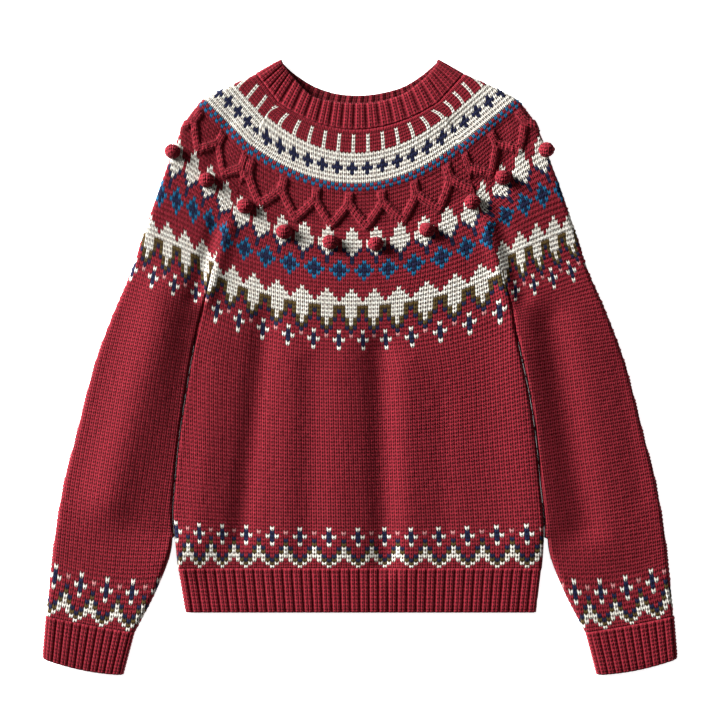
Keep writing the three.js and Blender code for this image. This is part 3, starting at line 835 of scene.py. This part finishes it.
def make_rib(name, ribs, rows, place, shows_inside=False):
    """A flat ring of ribs. place gives x, y, the length of a row and its direction outwards."""
    half = ribs * RIB_STITCHES
    mesh = knitted_slab(name, -half, half, rows, is_ring=True, is_fine_inside=shows_inside)
    stitch, row, is_outer = grid_of(mesh)
    turn = rib_share(stitch) / ribs * 2
    under = np.abs(turn) > 1
    t = np.where(under, np.where(turn > 0, 1 - (turn - 1) / 2, (-turn - 1) / 2), (turn + 1) / 2)
    f = np.clip((row + shear(stitch + 0.5, row, rows)) / rows, 0, 1)
    x, y, length, out_x, out_y = place(t, f, under)
    inset = np.minimum(t, 1 - t) * length
    top = lay(x, y)
    z, lean = tube_height(top, inset, under)
    height, rib = rib_relief(stitch, row)
    rib = mix(0.8, rib, np.clip(row / SEAM_ROWS, 0, 1))
    end = np.clip((1 - f) * rows / RIM_ROWS, 0, 1)
    lift = (rib - 0.6) * RIB_HEIGHT + (height - 0.7) * RIB_STITCH_HEIGHT - RIM_DROP * (1 - end)
    inside = np.where(under & shows_inside, (rib - 0.5) * INSIDE_RIB - (height - 0.7) * 0.6, 0)
    out = np.where(is_outer, np.where(under, rib * height - 1, lift), inside - KNIT_WALL)
    up = np.sqrt(1 - lean**2) * np.where(under, -1, 1)
    sideways = lean * np.where(t > 0.5, -1, 1)
    z = np.maximum(z + out * up, 0.02)
    x = x + out * sideways * out_x
    y = y + out * sideways * out_y
    # Painted shade mask: dark down in the rib grooves and between the legs.
    groove = np.clip(0.75 - 0.3 * height - 0.4 * rib, 0, 1)
    # On the neckband's inside the mask is raised further: painted shade makes the inside dark.
    groove = np.where(is_outer | (not shows_inside), groove, np.clip(0.5 + 1.3 * rib, 0, 2))
    points = to_metres(x, y, z)
    return finish_panel(mesh, stitch, row, groove, points, plain_red, (stitch + 0.5, row))


def straight(start, finish, sag, t):
    """Points of a straight row that sags a little, its length and its direction outwards."""
    length = np.hypot(start[0] - finish[0], start[1] - finish[1])
    x, y = mix(start[0], finish[0], t), mix(start[1], finish[1], t) - sag * 4 * t * (1 - t)
    return x, y, length, (start[0] - finish[0]) / length, (start[1] - finish[1]) / length


def ends_between(a, b, f, drop):
    return mix(a[0], b[0], f), mix(a[1], b[1], f) - drop


def hem_place(t, f, under):
    seam = body_ends(np.array([float(BODY_END)]))
    drop = -RIB_LAP * (1 - f)
    start = ends_between((seam[0], seam[1]), HEM["left_end"], f, drop)
    finish = ends_between((seam[4], seam[5]), HEM["right_end"], f, drop)
    return straight(start, finish, 0, t)


def cuff_place(side):
    def place(t, f, under):
        outer_x, outer_y, inner_x, inner_y, sag = sleeve_ends(np.array([float(SLEEVE_END)]), side)[:5]
        drop = -RIB_LAP * (1 - f)
        outer_end, inner_end = CUFF["outer_end"], CUFF["inner_end"]
        start = ends_between((outer_x, outer_y), (-side * outer_end[0], outer_end[1]), f, drop)
        finish = ends_between((inner_x, inner_y), (-side * inner_end[0], inner_end[1]), f, drop)
        return straight(start, finish, mix(sag, CUFF["sag"], f), t)
    return place


hem_rib = make_rib("hem_rib_knit", 38, 12, hem_place)
cuff_left = make_rib("cuff_left_knit", 11, 12, cuff_place(-1))
cuff_right = make_rib("cuff_right_knit", 11, 12, cuff_place(1))

# %% [markdown]
# The neckband is a ribbed ring too, but its back half stands higher than its front half, so a
# thin crescent of its inside shows over the front, darkened with painted shade.


# %% The neckband
BAND_LAP = 0.3
BAND_TIP_SHARE = 0.42
BAND_TURN = 0.6
BAND_OUTWARDS = (-1.0, 0.3)


def neck_seam(place, rise):
    """The neck seam from 0 to 10: a sleeve, the body, the other sleeve."""
    zero = np.zeros(len(place))
    left, right = sleeve_ends(zero, -1), sleeve_ends(zero, 1)
    ends = body_ends(zero)
    across = np.clip((place - 5) / 3, -1, 1)
    reach = np.abs(across)
    x = mix(ends[2], np.where(across < 0, ends[0], ends[4]), reach)
    y = mix(ends[3] + rise, np.where(across < 0, ends[1], ends[5]), reach ** ends[6])
    on_left, on_right = place < 2, place > 8
    x = np.where(on_left, mix(left[0], left[2], place / 2), x)
    y = np.where(on_left, mix(left[1], left[3], place / 2), y)
    x = np.where(on_right, mix(right[0], right[2], (10 - place) / 2), x)
    return x, np.where(on_right, mix(right[1], right[3], (10 - place) / 2), y)


def band_place(t, f, under):
    length = 10 * ROLL / BAND_TIP_SHARE
    behind = np.where(under, np.clip(np.minimum(t, 1 - t) * length / (ROLL * BAND_TURN), 0, 1), 0)
    front_x, front_y, back_x, back_y = smooth(BAND_ROWS, t * 10)
    edge_x, edge_y = mix(front_x, back_x, behind), mix(front_y, back_y, behind)
    seam_x, seam_y = neck_seam(t * 10, (BACK_NECK_RISE + SEAM_GAP) * behind)
    width = np.hypot(edge_x - seam_x, edge_y - seam_y)
    f = mix(-BAND_LAP / width, 1, f)
    return mix(seam_x, edge_x, f), mix(seam_y, edge_y, f), length, *BAND_OUTWARDS


neckband = make_rib("neckband_knit", 21, 8, band_place, shows_inside=True)

# %% [markdown]
# A bobble is a tight little ball of stockinette, sewn or knitted on. It starts as a sphere;
# rows and columns of small stitches are raised on it, and its foot is pressed on the cloth.


# %% Bobbles
BOBBLE_STITCHES = 10
BOBBLE_ROWS = 6
BOBBLE_LIFT = 3.2
BOBBLE_SINK = 0.2
BOBBLE_SQUASH = 0.93


def make_bobble(name, centre):
    x0, y0 = centre
    seat = float(lay(np.array([x0]), np.array([y0]))[0])
    work = bmesh.new()
    bmesh.ops.create_uvsphere(work, u_segments=48, v_segments=28, radius=1.0)
    mesh = bpy.data.meshes.new(name)
    work.to_mesh(mesh)
    work.free()
    flat = np.empty(len(mesh.vertices) * 3)
    mesh.vertices.foreach_get("co", flat)
    unit = flat.reshape(-1, 3)
    tilt = 0.9 * math.sin(x0)
    sideways = unit[:, 1] * math.cos(tilt) + unit[:, 2] * math.sin(tilt)
    upward = unit[:, 2] * math.cos(tilt) - unit[:, 1] * math.sin(tilt)
    turn = np.arctan2(upward, unit[:, 0]) / (2 * np.pi) * BOBBLE_STITCHES
    rows = np.arccos(np.clip(sideways, -1, 1)) / np.pi * BOBBLE_ROWS
    rows = rows - PULL * (1 - 2 * np.abs((turn + 0.5) % 1 - 0.5))
    height = relief(turn, rows)
    pole = np.clip(1 - np.abs(sideways) ** 8, 0, 1)
    reach = BOBBLE_RADIUS + 0.9 + ((height - 0.9) * 1.7 + 0.3 * uneven(turn + x0, rows)) * pole
    x, y, z = (unit * reach[:, None]).T
    x, y = x + x0, y + y0
    y = mix(y0, y, BOBBLE_SQUASH)
    z = np.maximum(z + seat + BOBBLE_LIFT, seat - BOBBLE_SINK)
    # Painted shade mask: dark in the grooves between the bobble's stitches.
    groove = np.clip(1 - height, 0, 1) * pole
    return finish_panel(mesh, turn, rows, groove, to_metres(x, y, z), plain_red)


bobbles = [make_bobble("bobble_%d_knit" % (i + 1), centre) for i, centre in enumerate(BOBBLES)]

# %% [markdown]
# Every piece now takes the place of its solid and rides on the only body. The flat sizes are
# those of the knitted pieces before they were joined.

panels = {
    "front": (front, (0.450, 0.505), 0.176),
    "back": (back, (0.450, 0.505), 0.176),
    "sleeve_left": (sleeve_left, (0.280, 0.663), 0.130),
    "sleeve_right": (sleeve_right, (0.280, 0.663), 0.130),
    "neckband": (neckband, (0.620, 0.032), 0.0185),
    "hem_rib": (hem_rib, (0.860, 0.051), 0.0435),
    "cuff_left": (cuff_left, (0.210, 0.050), 0.0100),
    "cuff_right": (cuff_right, (0.210, 0.050), 0.0100),
}
for name, (piece, *_) in panels.items():
    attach(piece, "root")
    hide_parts(name)
for number, bobble in enumerate(bobbles, 1):
    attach(bobble, "root")
    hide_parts("bobble_%d" % number)
print("pieces:", len(panels) + len(bobbles))

# %% [markdown]
# The jumper lies on a plain pale floor. One large soft light stands at the upper left and a
# faint one hangs above, so that the folds and the stitches keep soft shade.

# %% Floor, light and camera
FLOOR_WHITE = (0.94, 0.94, 0.94, 1)
FLOOR_GLOW = 0.9
WORLD_LIGHT = 0.10
work = bmesh.new()
bmesh.ops.create_grid(work, x_segments=1, y_segments=1, size=3.0)
floor_mesh = bpy.data.meshes.new("floor")
work.to_mesh(floor_mesh)
work.free()
floor = bpy.data.objects.new("floor", floor_mesh)
bpy.context.scene.collection.objects.link(floor)
paper = bpy.data.materials.new("pale_floor")
paper.use_nodes = True
paper.node_tree.nodes["Principled BSDF"].inputs["Base Color"].default_value = FLOOR_WHITE
paper.node_tree.nodes["Principled BSDF"].inputs["Roughness"].default_value = 0.9
paper.node_tree.nodes["Principled BSDF"].inputs["Emission Color"].default_value = (1, 1, 1, 1)
paper.node_tree.nodes["Principled BSDF"].inputs["Emission Strength"].default_value = FLOOR_GLOW
floor_mesh.materials.append(paper)


def soft_light(name, place, size, power):
    light = bpy.data.lights.new(name, "AREA")
    light.size = size
    light.energy = power
    lamp = bpy.data.objects.new(name, light)
    lamp.location = place
    lamp.rotation_euler = (-Vector(place)).to_track_quat("-Z", "Y").to_euler()
    bpy.context.scene.collection.objects.link(lamp)
    return lamp


soft_light("upper_left_light", (-4.4, 2.2, 1.75), 2.4, 1170)
soft_light("fill_light", (0.3, 0.3, 2.6), 2.0, 3)
world = bpy.data.worlds.new("studio")
world.use_nodes = True
world.node_tree.nodes["Background"].inputs["Color"].default_value = (1, 1, 1, 1)
world.node_tree.nodes["Background"].inputs["Strength"].default_value = WORLD_LIGHT
scene = bpy.context.scene
scene.world = world
scene.view_settings.view_transform = "Standard"

PHOTO_WIDTH = 0.828
CAMERA_Y = 0.0081
CAMERA_RISE = 0.01
LENS = 85.0
SENSOR = 36.0
camera_data = bpy.data.cameras.new("photo_camera")
camera_data.lens = LENS
camera_data.sensor_width = SENSOR
camera = bpy.data.objects.new("camera", camera_data)
camera.location = (0, CAMERA_Y, PHOTO_WIDTH * LENS / SENSOR + CAMERA_RISE)
scene.collection.objects.link(camera)
scene.camera = camera
print("camera height: %.3f m" % camera.location.z)
